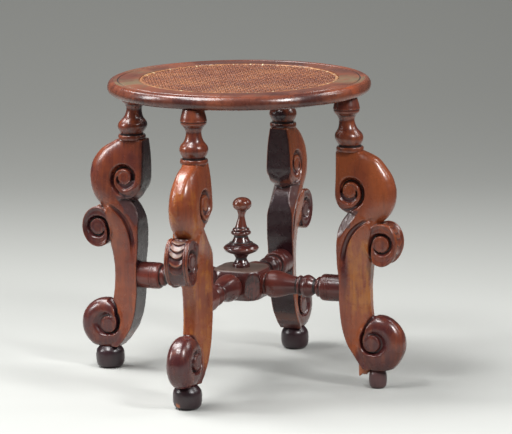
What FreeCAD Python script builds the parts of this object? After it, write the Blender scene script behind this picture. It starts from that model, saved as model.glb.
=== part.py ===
import FreeCAD, Part
import math
import os

# A round walnut stool. Four scrolled legs with turned necks and bun feet carry a ring seat with a
# woven cane panel, and four turned stretchers meet at a hub that carries a turned finial.
# Units are millimetres, the floor is z = 0 and the stool's axis is the Z axis. Every leg is made on
# the +X side and turned round the axis to its place. Shares are parts of the size that they follow.

# The seat ring: its nose is the widest line of its bullnose edge
seat_height = 441.0
seat_radius = 190.0
seat_thickness = 20.0
seat_ring_width = 59.0
seat_top_round = 6.0
seat_bottom_round = 9.0
seat_nose_share = 0.475
segment_count = 4

# The dowels in the joints between the ring's segments
dowel_radius = 4.0
dowel_length = 40.0
dowel_insets = (18.0, 37.0)
dowel_height_share = 0.40

# The cane panel and the binder cane that covers its edge
cane_ledge_width = 13.0
cane_thickness = 1.8
binder_thickness = 1.2
binder_width = 5.0
cane_pitch = 12.7
cane_gap = 7.4
cane_net_margin = 8.0

# The turned neck at the top of each leg
neck_inset = 20.0
neck_length = 77.0
neck_vase_radius = 20.3
neck_tenon_radius = 9.0
neck_tenon_length = 13.0

# The carved scroll leg, sawn from one thick plank. Overhangs are measured outwards from the neck's
# axis, and rises are shares of the height from the foot's top to the shoulder.
leg_count = 4
shoulder_half_width = 20.0
shoulder_half_thickness = 14.0
bulge_overhang = 66.0
curl_radius = 26.0
curl_rise_share = 0.807
upper_half_thickness = 20.5
mid_scroll_overhang = 51.0
mid_scroll_rise_share = 0.577
mid_scroll_half_width = 24.5
mid_scroll_half_height = 30.0
mid_scroll_proud = 0.8
mid_half_thickness = 17.5
stem_outer_overhang = 26.0
stem_inner_setback = 11.5
stem_throat_setback = 15.0
stem_half_thickness = 16.8
lower_scroll_overhang = 44.5
lower_scroll_radius = 38.5
lower_scroll_flat = 5.5
lower_half_thickness = 19.0
heel_half_thickness = 14.5
bulge_round = 10.0
stem_round = 8.0
egg_round = 14.0
mid_round = 2.0

# The spiral grooves that cut the volutes
groove_width = 4.2
groove_depth = 4.5

# The bun feet
foot_height = 33.0
foot_inset = 5.0
foot_radius = 21.0
foot_top_radius = 17.0
foot_spigot_radius = 7.0
foot_spigot_length = 18.0

# The turned stretchers
stretcher_rise_share = 0.3505
arm_drum_radius = 18.2
arm_leg_tenon_radius = 7.0
arm_leg_tenon_length = 20.0
arm_hub_tenon_radius = 7.0
arm_hub_tenon_length = 16.0

# The hub where the stretchers meet
hub_half_width = 38.0
hub_half_height = 22.0
hub_facet_distance = 43.7
hub_shoulder_radius = 24.0

# The finial on the hub
finial_disc_radius = 25.6
finial_ball_radius = 13.6
finial_height = 102.4
finial_ball_height = 19.6
finial_tenon_radius = 5.0
finial_tenon_length = 18.0

# Fits and cutting
glue_clearance = 0.15
end_clearance = 1.0
overrun = 2.0

# Turned profiles, as steps of (share along the length, share of the widest radius). A step of one
# point is a line, of two an arc, and of more a smooth curve.
neck_profile_shares = (
    ((0.000, 0.926),),
    ((0.042, 0.966), (0.084, 0.926)),
    ((0.084, 0.768),),
    ((0.110, 0.768),),
    ((0.188, 0.930), (0.261, 1.000), (0.347, 0.900), (0.430, 0.660), (0.566, 0.542), (0.680, 0.676)),
    ((0.725, 0.864), (0.780, 0.926)),
    ((1.000, 0.739),),
)
foot_profile_shares = (
    ((0.000, 0.693),),
    ((0.150, 0.932), (0.460, 1.000), (0.800, 0.937), (1.000, 0.842)),
)
arm_profile_shares = (
    ((0.000, 0.780),),
    ((0.014, 0.846), (0.028, 0.780)),
    ((0.059, 0.923), (0.104, 0.962), (0.185, 0.914), (0.297, 0.750), (0.426, 0.659)),
    ((0.448, 0.764), (0.470, 0.626)),
    ((0.501, 0.763), (0.543, 0.846), (0.595, 0.733), (0.640, 0.550), (0.670, 0.657), (0.689, 0.764)),
    ((0.723, 0.764),),
    ((0.730, 0.941), (0.752, 1.000)),
    ((1.000, 1.000),),
)
finial_profile_shares = (
    ((0.000, 0.520),),
    ((0.055, 0.473), (0.165, 0.402), (0.270, 0.582), (0.325, 1.000)),
    ((0.385, 0.829), (0.435, 0.512), (0.480, 0.363), (0.590, 0.391)),
    ((0.635, 0.570), (0.690, 0.391)),
    ((0.735, 0.263), (0.840, 0.188), (1.000, 0.263)),
)
ball_profile_shares = (((0.22, 0.90), (0.50, 1.00), (0.85, 0.72), (1.00, 0.00)),)

# Points of the leg's outline, as (share across, share along) of the spans that they follow: the bulge
# from the shoulder to the middle scroll, and the inner edge below and above the stretcher's seat.
bulge_shares = (
    (0.25, 0.05),
    (0.50, 0.12),
    (0.74, 0.23),
    (0.91, 0.35),
    (0.99, 0.48),
    (1.00, 0.59),
    (0.95, 0.74),
    (0.82, 0.88),
)
heel_shares = ((0.27, 0.12), (0.50, 0.24), (0.66, 0.34), (0.78, 0.46), (0.88, 0.60), (0.96, 0.80))
throat_shares = ((0.46, 0.10), (0.80, 0.22), (1.00, 0.40), (0.93, 0.57), (0.66, 0.72))
throat_top_shares = ((0.40, 0.86),)

# Where the sawn pieces run on inside their neighbours
bulge_tail_shares = (0.35, 0.30)
bulge_inner_shares = (0.65, 0.45)
stem_top_shares = (0.88, 0.30)
stem_inside_share = 0.45
stem_run_on_share = 0.13

# Radii of a volute's successive quarter arcs, as shares of its scroll's radius, from the eye outwards
curl_winding_shares = (0.465, 0.542, 0.638, 0.735)
mid_winding_shares = (0.478, 0.567, 0.649, 0.710)
lower_winding_shares = (0.351, 0.415, 0.467)
lower_eye_inset_share = 0.216

# Angles in the leg's plane at which the notches lie, and at which the grooves start at their eyes
full_turn = 360.0
half_turn = 180.0
quarter_turn = 90.0
mid_notch_top_angle = 99.0
mid_notch_bottom_angle = -137.0
lower_notch_angle = 106.0
curl_notch_angle = -97.0
curl_groove_start_angle = -20.0
mid_groove_start_angle = 200.0
lower_groove_start_angle = 80.0

# Heights and reaches that follow from the sizes above
seat_underside = seat_height - seat_thickness
seat_opening_radius = seat_radius - seat_ring_width
cane_seat_radius = seat_opening_radius + cane_ledge_width
cane_ledge_height = seat_height - cane_thickness - binder_thickness
neck_reach = seat_radius - neck_inset
shoulder_height = seat_underside - neck_length
scroll_span = shoulder_height - foot_height
block_inner_reach = neck_reach - shoulder_half_width
block_outer_reach = neck_reach + shoulder_half_width
bulge_reach = neck_reach + bulge_overhang
curl_reach = block_inner_reach + curl_radius
curl_height = foot_height + scroll_span * curl_rise_share
mid_scroll_reach = neck_reach + mid_scroll_overhang
mid_scroll_height = foot_height + scroll_span * mid_scroll_rise_share
mid_scroll_inner_reach = mid_scroll_reach - mid_scroll_half_width
stem_outer_reach = neck_reach + stem_outer_overhang
stem_inner_reach = neck_reach - stem_inner_setback
stem_throat_reach = neck_reach - stem_throat_setback
lower_scroll_reach = neck_reach + lower_scroll_overhang
lower_scroll_height = foot_height + lower_scroll_radius - lower_scroll_flat
foot_reach = lower_scroll_reach - foot_inset
stretcher_height = foot_height + scroll_span * stretcher_rise_share
arm_seat_half_height = arm_drum_radius + end_clearance
hub_top = stretcher_height + hub_half_height
finial_top = hub_top + finial_height
finial_ball_base = finial_top - finial_ball_height


def vec(x, y, z):
    return FreeCAD.Vector(x, y, z)


def polar(centre, radius, degrees):
    """The point at an angle on a circle in a profile plane."""
    angle = math.radians(degrees)
    return (centre[0] + radius * math.cos(angle), centre[1] + radius * math.sin(angle))


def blend(start, end, share):
    return start + (end - start) * share


def between(start, end, shares):
    """The point at a share across and a share along the span from start to end."""
    return (blend(start[0], end[0], shares[0]), blend(start[1], end[1], shares[1]))


def profile_edges(start, steps):
    """Edges in the XZ plane. A step of one point is a line, of two an arc, and of more a spline."""
    edges = []
    here = vec(start[0], 0, start[1])
    for step in steps:
        points = [vec(x, 0, z) for x, z in step]
        if len(points) == 1:
            edges.append(Part.LineSegment(here, points[0]).toShape())
        elif len(points) == 2:
            edges.append(Part.Arc(here, points[0], points[1]).toShape())
        else:
            curve = Part.BSplineCurve()
            curve.interpolate([here] + points)
            edges.append(curve.toShape())
        here = points[-1]
    return edges


def profile_face(start, steps):
    return Part.Face(Part.Wire(profile_edges(start, steps)))


def turned(start, steps):
    """A turned solid about the Z axis, from half of its section."""
    return profile_face(start, steps).revolve(vec(0, 0, 0), vec(0, 0, 1), full_turn)


def sized_steps(step_shares, base, top, widest):
    """A turned profile's steps between two heights, from their shares."""
    return [[(widest * girth, blend(base, top, along)) for along, girth in step] for step in step_shares]


def cylinder(radius, length, base, direction):
    return Part.makeCylinder(radius, length, base, direction)


def turned_to_x(shape):
    """Lays a turned solid's axis from Z onto X."""
    laid = shape.copy()
    laid.rotate(vec(0, 0, 0), vec(0, 1, 0), quarter_turn)
    return laid


def around(shape, index, count):
    """A copy turned round the stool's axis to one of its places."""
    copy = shape.copy()
    copy.rotate(vec(0, 0, 0), vec(0, 0, 1), full_turn * index / count)
    return copy


def ring(inner, outer, bottom, top):
    outside = cylinder(outer, top - bottom, vec(0, 0, bottom), vec(0, 0, 1))
    inside = cylinder(inner, top - bottom + 2 * overrun, vec(0, 0, bottom - overrun), vec(0, 0, 1))
    return outside.cut(inside)


def seat_segment():
    """A quarter of the ring: a bullnose edge, a ledge for the cane, and a socket for the neck."""
    bow_share = 0.30
    bottom_flat = (seat_radius - seat_bottom_round, seat_underside)
    top_flat = (seat_radius - seat_top_round, seat_height)
    nose = (seat_radius, blend(seat_underside, seat_height, seat_nose_share))
    face = profile_face(
        (seat_opening_radius, seat_underside),
        [
            [bottom_flat],
            [between(nose, bottom_flat, (bow_share, 1 - bow_share)), nose],
            [between(nose, top_flat, (bow_share, 1 - bow_share)), top_flat],
            [(cane_seat_radius, seat_height)],
            [(cane_seat_radius, cane_ledge_height)],
            [(seat_opening_radius, cane_ledge_height)],
            [(seat_opening_radius, seat_underside)],
        ],
    )
    sweep = full_turn / segment_count
    segment = face.revolve(vec(0, 0, 0), vec(0, 0, 1), sweep)
    segment.rotate(vec(0, 0, 0), vec(0, 0, 1), -sweep / 2)
    socket = cylinder(
        neck_tenon_radius + glue_clearance,
        neck_tenon_length + end_clearance + overrun,
        vec(neck_reach, 0, seat_underside - overrun),
        vec(0, 0, 1),
    )
    segment = segment.cut(socket)
    for dowel in seat_joint_dowels(dowel_radius + glue_clearance, dowel_length + 2 * end_clearance):
        segment = segment.cut(dowel)
    return segment


def seat_joint_dowels(radius, length):
    """The dowels across the joints at both ends of one segment."""
    height = blend(seat_underside, seat_height, dowel_height_share)
    dowels = []
    for side in (-1, 1):
        for inset in dowel_insets:
            base = vec(seat_radius - inset, -length / 2, height)
            dowel = cylinder(radius, length, base, vec(0, 1, 0))
            dowel.rotate(vec(0, 0, 0), vec(0, 0, 1), side * full_turn / segment_count / 2)
            dowels.append(dowel)
    return dowels


def seat_dowels():
    solids = []
    for index in range(segment_count):
        for dowel in seat_joint_dowels(dowel_radius, dowel_length)[: len(dowel_insets)]:
            solids.append(around(dowel, index, segment_count))
    return Part.makeCompound(solids)


def cane_panel():
    """The woven panel as one flat holed sheet that rests on the ring's ledge."""
    edge = Part.Circle(vec(0, 0, cane_ledge_height), vec(0, 0, 1), cane_seat_radius - glue_clearance)
    wires = [Part.Wire(edge.toShape())]
    net_radius = seat_opening_radius - cane_net_margin
    reach_count = int(net_radius / cane_pitch) + 1
    half = cane_gap / 2
    for row in range(-reach_count, reach_count + 1):
        for column in range(-reach_count, reach_count + 1):
            x = column * cane_pitch
            y = row * cane_pitch
            if math.hypot(x, y) > net_radius - half:
                continue
            corners = ((x - half, y - half), (x - half, y + half), (x + half, y + half), (x + half, y - half))
            points = [vec(px, py, cane_ledge_height) for px, py in corners]
            wires.append(Part.makePolygon(points + points[:1]))
    return Part.Face(wires).extrude(vec(0, 0, cane_thickness))


def cane_binder():
    outer = cane_seat_radius - glue_clearance
    return ring(outer - binder_width, outer, seat_height - binder_thickness, seat_height)


def tangent_exit(point, inward, target):
    """The centre and radius of the arc that leaves a point square to inward and ends at target."""
    dx = target[0] - point[0]
    dz = target[1] - point[1]
    radius = (dx * dx + dz * dz) / (2 * (dx * inward[0] + dz * inward[1]))
    return (point[0] + radius * inward[0], point[1] + radius * inward[1]), radius


def volute_arcs(eye, radii, start_angle, turn, notch):
    """Quarter arcs that wind out from the eye, each larger than the last, and an arc to the notch."""
    arcs = []
    centre = eye
    angle = start_angle
    for index, radius in enumerate(radii):
        next_angle = turn * quarter_turn * math.floor(turn * angle / quarter_turn + 1)
        arcs.append((centre, radius, angle, next_angle))
        point = polar(centre, radius, next_angle)
        angle = next_angle
        if index + 1 < len(radii):
            centre = polar(point, radii[index + 1], angle + half_turn)
    inward = polar((0, 0), 1, angle + half_turn)
    centre, radius = tangent_exit(point, inward, notch)
    end = math.degrees(math.atan2(notch[1] - centre[1], notch[0] - centre[0]))
    while turn * (end - angle) < 0:
        end += turn * full_turn
    while turn * (end - angle) > full_turn:
        end -= turn * full_turn
    run_out = turn * math.degrees(groove_width / radius)
    arcs.append((centre, radius, angle, end + run_out))
    return arcs


def groove_cutter(arcs, floor, ceiling):
    """A band of the groove's width along the arcs, from its floor out past the leg's side."""
    half = groove_width / 2

    def side(offset):
        edges = []
        for centre, radius, start, end in arcs:
            points = [polar(centre, radius + offset, blend(start, end, share)) for share in (0, 0.5, 1)]
            edges.append([vec(x, 0, z) for x, z in points])
        return edges

    outer = side(half)
    inner = side(-half)
    edges = [Part.Arc(*points).toShape() for points in outer + inner]
    edges.append(Part.LineSegment(outer[0][0], inner[0][0]).toShape())
    edges.append(Part.LineSegment(outer[-1][2], inner[-1][2]).toShape())
    face = Part.Face(Part.Wire(Part.__sortEdges__(edges)))
    face.translate(vec(0, floor, 0))
    return face.extrude(vec(0, ceiling - floor, 0))


def oval_point(degrees):
    """A point on the middle scroll's oval outline."""
    angle = math.radians(degrees)
    return (
        mid_scroll_reach + mid_scroll_half_width * math.cos(angle),
        mid_scroll_height + mid_scroll_half_height * math.sin(angle),
    )


def leg_corners():
    """Where one curve of the leg's outline ends and the next begins."""
    return {
        "mid_top": oval_point(mid_notch_top_angle),
        "mid_bottom": oval_point(mid_notch_bottom_angle),
        "lower_top": polar((lower_scroll_reach, lower_scroll_height), lower_scroll_radius, lower_notch_angle),
        "heel": (foot_reach - foot_top_radius, foot_height),
        "seat_low": (stem_inner_reach, stretcher_height - arm_seat_half_height),
        "seat_high": (stem_inner_reach, stretcher_height + arm_seat_half_height),
        "curl": polar((curl_reach, curl_height), curl_radius, curl_notch_angle),
    }


def plank_piece(start, steps, half_thickness, rounded_index, radius):
    """A piece sawn from the plank, with both long edges of one of its sides rounded over."""
    edges = profile_edges(start, steps)
    face = Part.Face(Part.Wire(edges))
    face.translate(vec(0, -half_thickness, 0))
    piece = face.extrude(vec(0, 2 * half_thickness, 0))
    rounded = edges[rounded_index]
    middle = rounded.valueAt((rounded.FirstParameter + rounded.LastParameter) / 2)
    chosen = []
    for edge in piece.Edges:
        for side in (-half_thickness, half_thickness):
            if edge.distToShape(Part.Vertex(middle + vec(0, side, 0)))[0] < glue_clearance:
                chosen.append(edge)
    return piece.makeFillet(radius, chosen)


def upper_scroll():
    """The block under the neck: the rounded bulge outside, and the curl that hangs inside."""
    corners = leg_corners()
    notch = corners["mid_top"]
    curl = corners["curl"]
    shoulder_inner = (block_inner_reach, shoulder_height)
    shoulder_outer = (block_outer_reach, shoulder_height)
    bulge = [between(shoulder_outer, (bulge_reach, notch[1]), shares) for shares in bulge_shares]
    tail = between(notch, (mid_scroll_inner_reach, mid_scroll_height), bulge_tail_shares)
    curl_middle_angle = (curl_notch_angle - half_turn) / 2
    curl_middle = polar((curl_reach, curl_height), curl_radius, curl_middle_angle)
    steps = [
        [shoulder_outer],
        bulge + [notch, tail],
        [between(notch, curl, bulge_inner_shares)],
        [curl],
        [curl_middle, (block_inner_reach, curl_height)],
        [shoulder_inner],
    ]
    return plank_piece(shoulder_inner, steps, upper_half_thickness, 1, bulge_round)


def stem():
    """The stem between the scrolls, with a flat seat for the stretcher on its inner edge."""
    corners = leg_corners()
    top = corners["mid_bottom"]
    bottom = corners["lower_top"]
    middle = (stem_outer_reach, (top[1] + bottom[1]) / 2)
    arc = Part.Arc(vec(top[0], 0, top[1]), vec(middle[0], 0, middle[1]), vec(bottom[0], 0, bottom[1]))
    run_on = (arc.LastParameter - arc.FirstParameter) * stem_run_on_share
    ends = (arc.value(arc.FirstParameter - run_on), arc.value(arc.LastParameter + run_on))
    outer_top, outer_bottom = [(end.x, end.z) for end in ends]
    heel = corners["heel"]
    seat_low = corners["seat_low"]
    seat_high = corners["seat_high"]
    curl = corners["curl"]
    throat = (stem_throat_reach, curl[1])
    heel_curve = [between(heel, seat_low, shares) for shares in heel_shares]
    throat_curve = [between(seat_high, throat, shares) for shares in throat_shares]
    throat_curve += [between((throat[0], seat_high[1]), curl, shares) for shares in throat_top_shares]
    notch = corners["mid_top"]
    inside_bulge = between((curl[0], notch[1]), (notch[0], curl_height), stem_top_shares)
    inside_oval = blend(outer_top[0], mid_scroll_inner_reach, stem_inside_share)
    inside_egg = blend(outer_bottom[0], lower_scroll_reach - lower_scroll_radius, stem_inside_share)
    steps = [
        [inside_bulge],
        [(inside_oval, outer_top[1])],
        [outer_top],
        [middle, outer_bottom],
        [(inside_egg, outer_bottom[1])],
        [(foot_reach - foot_spigot_radius, foot_height)],
        [heel],
        heel_curve + [seat_low],
        [seat_high],
        throat_curve + [curl],
    ]
    return plank_piece(curl, steps, upper_half_thickness, 3, stem_round)


def stem_envelope():
    """The thickness of the block and stem at every height, full at the bulge and thinner elsewhere."""
    sizes = [
        (foot_height, heel_half_thickness),
        (stretcher_height, stem_half_thickness),
        (mid_scroll_height, mid_half_thickness),
        (curl_height, upper_half_thickness),
        (shoulder_height, shoulder_half_thickness),
    ]
    right = [vec(0, half, height) for height, half in sizes]
    left = [vec(0, -half, height) for height, half in reversed(sizes)]
    curves = []
    for points in (right, left):
        curve = Part.BSplineCurve()
        curve.interpolate(points)
        curves.append(curve.toShape())
    top = Part.LineSegment(right[-1], left[0]).toShape()
    bottom = Part.LineSegment(left[-1], right[0]).toShape()
    face = Part.Face(Part.Wire([curves[0], top, curves[1], bottom]))
    return face.extrude(vec(bulge_reach + overrun, 0, 0))


def mid_scroll():
    """The oval scroll that stands out from the top of the stem."""
    half = mid_half_thickness + mid_scroll_proud
    centre = vec(mid_scroll_reach, -half, mid_scroll_height)
    high = centre + vec(0, 0, mid_scroll_half_height)
    wide = centre + vec(mid_scroll_half_width, 0, 0)
    prism = Part.Face(Part.Wire(Part.Ellipse(high, wide, centre).toShape())).extrude(vec(0, 2 * half, 0))
    rims = [edge for edge in prism.Edges if edge.isClosed()]
    return prism.makeFillet(mid_round, rims)


def lower_scroll():
    """The fat scroll above the foot, rounded like an egg and cut flat where the foot meets it."""
    base = vec(lower_scroll_reach, -lower_half_thickness, lower_scroll_height)
    disc = cylinder(lower_scroll_radius, 2 * lower_half_thickness, base, vec(0, 1, 0))
    rims = [edge for edge in disc.Edges if edge.isClosed()]
    egg = disc.makeFillet(egg_round, rims)
    size = 2 * (lower_scroll_radius + overrun)
    corner = vec(lower_scroll_reach - size / 2, -size / 2, foot_height - size)
    return egg.cut(Part.makeBox(size, size, size, corner))


def leg_volutes():
    """The three volutes: the arcs of each groove, and the half thickness that it is cut in."""
    corners = leg_corners()
    curl_eye = (curl_reach, curl_height + groove_depth)
    mid_eye = (mid_scroll_reach, mid_scroll_height)
    lower_eye = (lower_scroll_reach - lower_scroll_radius * lower_eye_inset_share, lower_scroll_height)
    curl_radii = [curl_radius * share for share in curl_winding_shares]
    mid_radii = [mid_scroll_half_width * share for share in mid_winding_shares]
    lower_radii = [lower_scroll_radius * share for share in lower_winding_shares]
    curl_arcs = volute_arcs(curl_eye, curl_radii, curl_groove_start_angle, -1, corners["curl"])
    mid_arcs = volute_arcs(mid_eye, mid_radii, mid_groove_start_angle, 1, corners["mid_bottom"])
    lower_arcs = volute_arcs(lower_eye, lower_radii, lower_groove_start_angle, -1, corners["lower_top"])
    return (
        (curl_arcs, upper_half_thickness),
        (mid_arcs, mid_half_thickness + mid_scroll_proud),
        (lower_arcs, lower_half_thickness),
    )


def neck():
    """The turned neck that stands on the shoulder, with its tenon for the seat."""
    tenon_top = seat_underside + neck_tenon_length
    steps = sized_steps(neck_profile_shares, shoulder_height, seat_underside, neck_vase_radius)
    steps += [
        [(neck_tenon_radius, seat_underside)],
        [(neck_tenon_radius, tenon_top)],
        [(0, tenon_top)],
        [(0, shoulder_height)],
    ]
    solid = turned((0, shoulder_height), steps)
    solid.translate(vec(neck_reach, 0, 0))
    return solid


def leg():
    """One leg: the sawn and rounded scroll, its grooves, its neck and its sockets."""
    sawn = upper_scroll().fuse(stem()).common(stem_envelope())
    body = sawn.fuse([mid_scroll(), lower_scroll()])
    for arcs, half_thickness in leg_volutes():
        cutter = groove_cutter(arcs, half_thickness - groove_depth, half_thickness + groove_depth)
        body = body.cut(cutter)
        body = body.cut(cutter.mirror(vec(0, 0, 0), vec(0, 1, 0)))
    body = body.fuse(neck())
    foot_socket = cylinder(
        foot_spigot_radius + glue_clearance,
        foot_spigot_length + end_clearance + overrun,
        vec(foot_reach, 0, foot_height - overrun),
        vec(0, 0, 1),
    )
    arm_socket = cylinder(
        arm_leg_tenon_radius + glue_clearance,
        arm_leg_tenon_length + end_clearance + overrun,
        vec(stem_inner_reach - overrun, 0, stretcher_height),
        vec(1, 0, 0),
    )
    return body.cut(foot_socket).cut(arm_socket).removeSplitter()


def foot():
    """A turned bun foot with the spigot that holds it in the leg."""
    spigot_top = foot_height + foot_spigot_length
    steps = sized_steps(foot_profile_shares, 0, foot_height, foot_radius)
    steps += [
        [(foot_spigot_radius, foot_height)],
        [(foot_spigot_radius, spigot_top)],
        [(0, spigot_top)],
        [(0, 0)],
    ]
    solid = turned((0, 0), steps)
    solid.translate(vec(foot_reach, 0, 0))
    return solid


def stretcher_arm():
    """One turned stretcher, from the hub's face to the leg's inner edge, with a tenon at each end."""
    hub_tenon_end = hub_half_width - arm_hub_tenon_length
    leg_tenon_end = stem_inner_reach + arm_leg_tenon_length
    steps = [[(arm_hub_tenon_radius, hub_tenon_end)], [(arm_hub_tenon_radius, hub_half_width)]]
    steps += sized_steps(arm_profile_shares, hub_half_width, stem_inner_reach, arm_drum_radius)
    steps += [
        [(arm_leg_tenon_radius, stem_inner_reach)],
        [(arm_leg_tenon_radius, leg_tenon_end)],
        [(0, leg_tenon_end)],
        [(0, hub_tenon_end)],
    ]
    arm = turned_to_x(turned((0, hub_tenon_end), steps))
    arm.translate(vec(0, 0, stretcher_height))
    return arm


def hub_block():
    """The hub's square block, with a flat facet at each corner."""
    reach = hub_half_width
    facet = hub_facet_distance * math.sqrt(2) - reach
    corners = []
    for side_x, side_y in ((1, 1), (-1, 1), (-1, -1), (1, -1)):
        ends = [(side_x * reach, side_y * facet), (side_x * facet, side_y * reach)]
        corners += ends if side_x == side_y else ends[::-1]
    points = [vec(x, y, stretcher_height - hub_half_height) for x, y in corners]
    return Part.Face(Part.makePolygon(points + points[:1])).extrude(vec(0, 0, 2 * hub_half_height))


def hub_barrel():
    """A barrel round one pair of stretchers, whose rounded ends become two of the hub's shoulders."""
    inner = hub_half_width - hub_shoulder_radius
    crown = hub_half_height + hub_shoulder_radius
    middle_angle = quarter_turn / 2
    low_middle = polar((hub_half_height, -inner), hub_shoulder_radius, -middle_angle)
    high_middle = polar((hub_half_height, inner), hub_shoulder_radius, middle_angle)
    steps = [
        [(hub_half_height, -hub_half_width)],
        [low_middle, (crown, -inner)],
        [(crown, inner)],
        [high_middle, (hub_half_height, hub_half_width)],
        [(0, hub_half_width)],
        [(0, -hub_half_width)],
    ]
    barrel = turned_to_x(turned((0, -hub_half_width), steps))
    barrel.translate(vec(0, 0, stretcher_height))
    return barrel


def stretcher_hub():
    """The hub, with its sockets for the stretchers and the finial."""
    barrel = hub_barrel()
    hub = hub_block().common(barrel).common(around(barrel, 1, leg_count))
    arm_socket = cylinder(
        arm_hub_tenon_radius + glue_clearance,
        arm_hub_tenon_length + end_clearance + overrun,
        vec(hub_half_width + overrun, 0, stretcher_height),
        vec(-1, 0, 0),
    )
    for index in range(leg_count):
        hub = hub.cut(around(arm_socket, index, leg_count))
    finial_socket = cylinder(
        finial_tenon_radius + glue_clearance,
        finial_tenon_length + end_clearance + overrun,
        vec(0, 0, hub_top + overrun),
        vec(0, 0, -1),
    )
    return hub.cut(finial_socket)


def finial():
    """The turned finial: a base, a broad disc, a bead, a ring, a slim stem and a flattened ball."""
    tenon_base = hub_top - finial_tenon_length
    steps = [[(finial_tenon_radius, tenon_base)], [(finial_tenon_radius, hub_top)]]
    steps += sized_steps(finial_profile_shares, hub_top, finial_ball_base, finial_disc_radius)
    steps += sized_steps(ball_profile_shares, finial_ball_base, finial_top, finial_ball_radius)
    steps.append([(0, tenon_base)])
    return turned((0, tenon_base), steps)


def write_part(name, shape):
    """Writes one node, and says how large it is and whether its solids are sound."""
    sound = all(solid.isValid() for solid in shape.Solids)
    print(f"{name:20s} solids {len(shape.Solids)} sound {sound} cubic mm {shape.Volume:.0f}")
    shape.exportStep(os.path.join("parts", name + ".step"))


def main():
    os.makedirs("parts", exist_ok=True)
    segment = seat_segment()
    for index in range(segment_count):
        write_part(f"seat_segment_{index + 1}", around(segment, index, segment_count))
    write_part("seat_dowels", seat_dowels())
    write_part("cane_panel", cane_panel())
    write_part("cane_binder", cane_binder())
    leg_shape = leg()
    foot_shape = foot()
    arm_shape = stretcher_arm()
    for index, side in enumerate(("right", "back", "left", "front")):
        write_part(f"leg_{side}", around(leg_shape, index, leg_count))
        write_part(f"foot_{side}", around(foot_shape, index, leg_count))
        write_part(f"stretcher_{side}", around(arm_shape, index, leg_count))
    write_part("stretcher_hub", stretcher_hub())
    write_part("finial", finial())


main()
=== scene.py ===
import bpy
import math
import numpy as np
import openvdb
from mathutils import Matrix, Vector


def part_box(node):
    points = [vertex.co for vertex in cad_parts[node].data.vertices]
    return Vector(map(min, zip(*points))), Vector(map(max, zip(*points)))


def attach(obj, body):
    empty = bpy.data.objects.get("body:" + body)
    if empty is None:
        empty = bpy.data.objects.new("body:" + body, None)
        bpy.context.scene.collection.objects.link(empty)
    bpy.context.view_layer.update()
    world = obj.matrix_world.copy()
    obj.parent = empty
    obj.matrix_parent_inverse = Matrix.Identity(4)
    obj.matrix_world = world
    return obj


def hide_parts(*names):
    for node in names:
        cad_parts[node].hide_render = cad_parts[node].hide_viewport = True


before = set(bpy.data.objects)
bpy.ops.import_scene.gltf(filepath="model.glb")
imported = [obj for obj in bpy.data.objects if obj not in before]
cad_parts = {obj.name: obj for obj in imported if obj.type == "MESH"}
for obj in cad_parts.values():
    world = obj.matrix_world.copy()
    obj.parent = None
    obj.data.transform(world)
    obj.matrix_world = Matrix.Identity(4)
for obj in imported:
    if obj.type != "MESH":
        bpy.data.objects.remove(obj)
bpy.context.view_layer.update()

# A round walnut stool, worked out in millimetres. Every leg is made on the +X side, with r outwards
# from the stool's axis and z upwards, and turned to its place.
MM = 0.001
SIDES = ("right", "back", "left", "front")
rng = np.random.default_rng(7)

# Sizes that the pieces take from the frame
SEAT_BOTTOM, SEAT_TOP = (corner.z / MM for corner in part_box("seat_segment_1"))
FOOT_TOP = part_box("leg_right")[0].z / MM
FOOT_REACH = sum(corner.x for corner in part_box("foot_right")) / 2 / MM
STRETCHER_Z = sum(corner.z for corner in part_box("stretcher_hub")) / 2 / MM
HUB_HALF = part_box("stretcher_hub")[1].x / MM
HUB_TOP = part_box("stretcher_hub")[1].z / MM
FINIAL_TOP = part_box("finial")[1].z / MM

# Sizes that pieces share: the legs' shoulders, necks, blocks and stems, and the cane's opening
SHOULDER, NECK_REACH, BLOCK_INNER, STEM_INNER, CANE_RADIUS = 344, 170, 150, 158.5, 144
# The turn of the camera, its lamps and its floor about the stool
CAMERA_TURN = math.radians(22.08)


# Curves and fields

def smooth_line(points, steps=12):
    """A smooth polyline through the points."""
    p = np.asarray(points, float)
    p = np.vstack([2 * p[0] - p[1], p, 2 * p[-1] - p[-2]])
    out = []
    for a, b, c, d in zip(p[:-3], p[1:-2], p[2:-1], p[3:]):
        bend, twist = 2 * a - 5 * b + 4 * c - d, 3 * b - a - 3 * c + d
        for t in np.linspace(0, 1, steps, endpoint=False):
            out.append(0.5 * (2 * b + (c - a) * t + bend * t**2 + twist * t**3))
    return np.array(out + [p[-2]])


def across_at(height, line):
    """How far across a rising line of (across, height) points lies at each height."""
    across, heights = np.array(line).T
    return np.interp(height, heights, across)


def arc_line(centre, radii, start, end, steps=24):
    """Points on an oval arc, from one angle to another, in degrees."""
    angle = np.radians(np.linspace(start, end, steps))
    return np.stack([centre[0] + radii[0] * np.cos(angle), centre[1] + radii[1] * np.sin(angle)], axis=1)


def line_distance(x, z, line):
    """Distance to a polyline, and how far along it the nearest point lies."""
    best = np.full(x.shape, 1e9)
    along = np.zeros(x.shape)
    steps = np.linalg.norm(np.diff(line, axis=0), axis=1)
    total = steps.sum()
    gone = 0
    for a, b, length in zip(line[:-1], line[1:], steps):
        if length == 0:
            continue
        t = ((x - a[0]) * (b[0] - a[0]) + (z - a[1]) * (b[1] - a[1])) / length**2
        t = np.clip(t, 0, 1)
        d = np.hypot(x - a[0] - t * (b[0] - a[0]), z - a[1] - t * (b[1] - a[1]))
        near = d < best
        best = np.where(near, d, best)
        along = np.where(near, (gone + t * length) / total, along)
        gone += length
    return best, along


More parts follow.
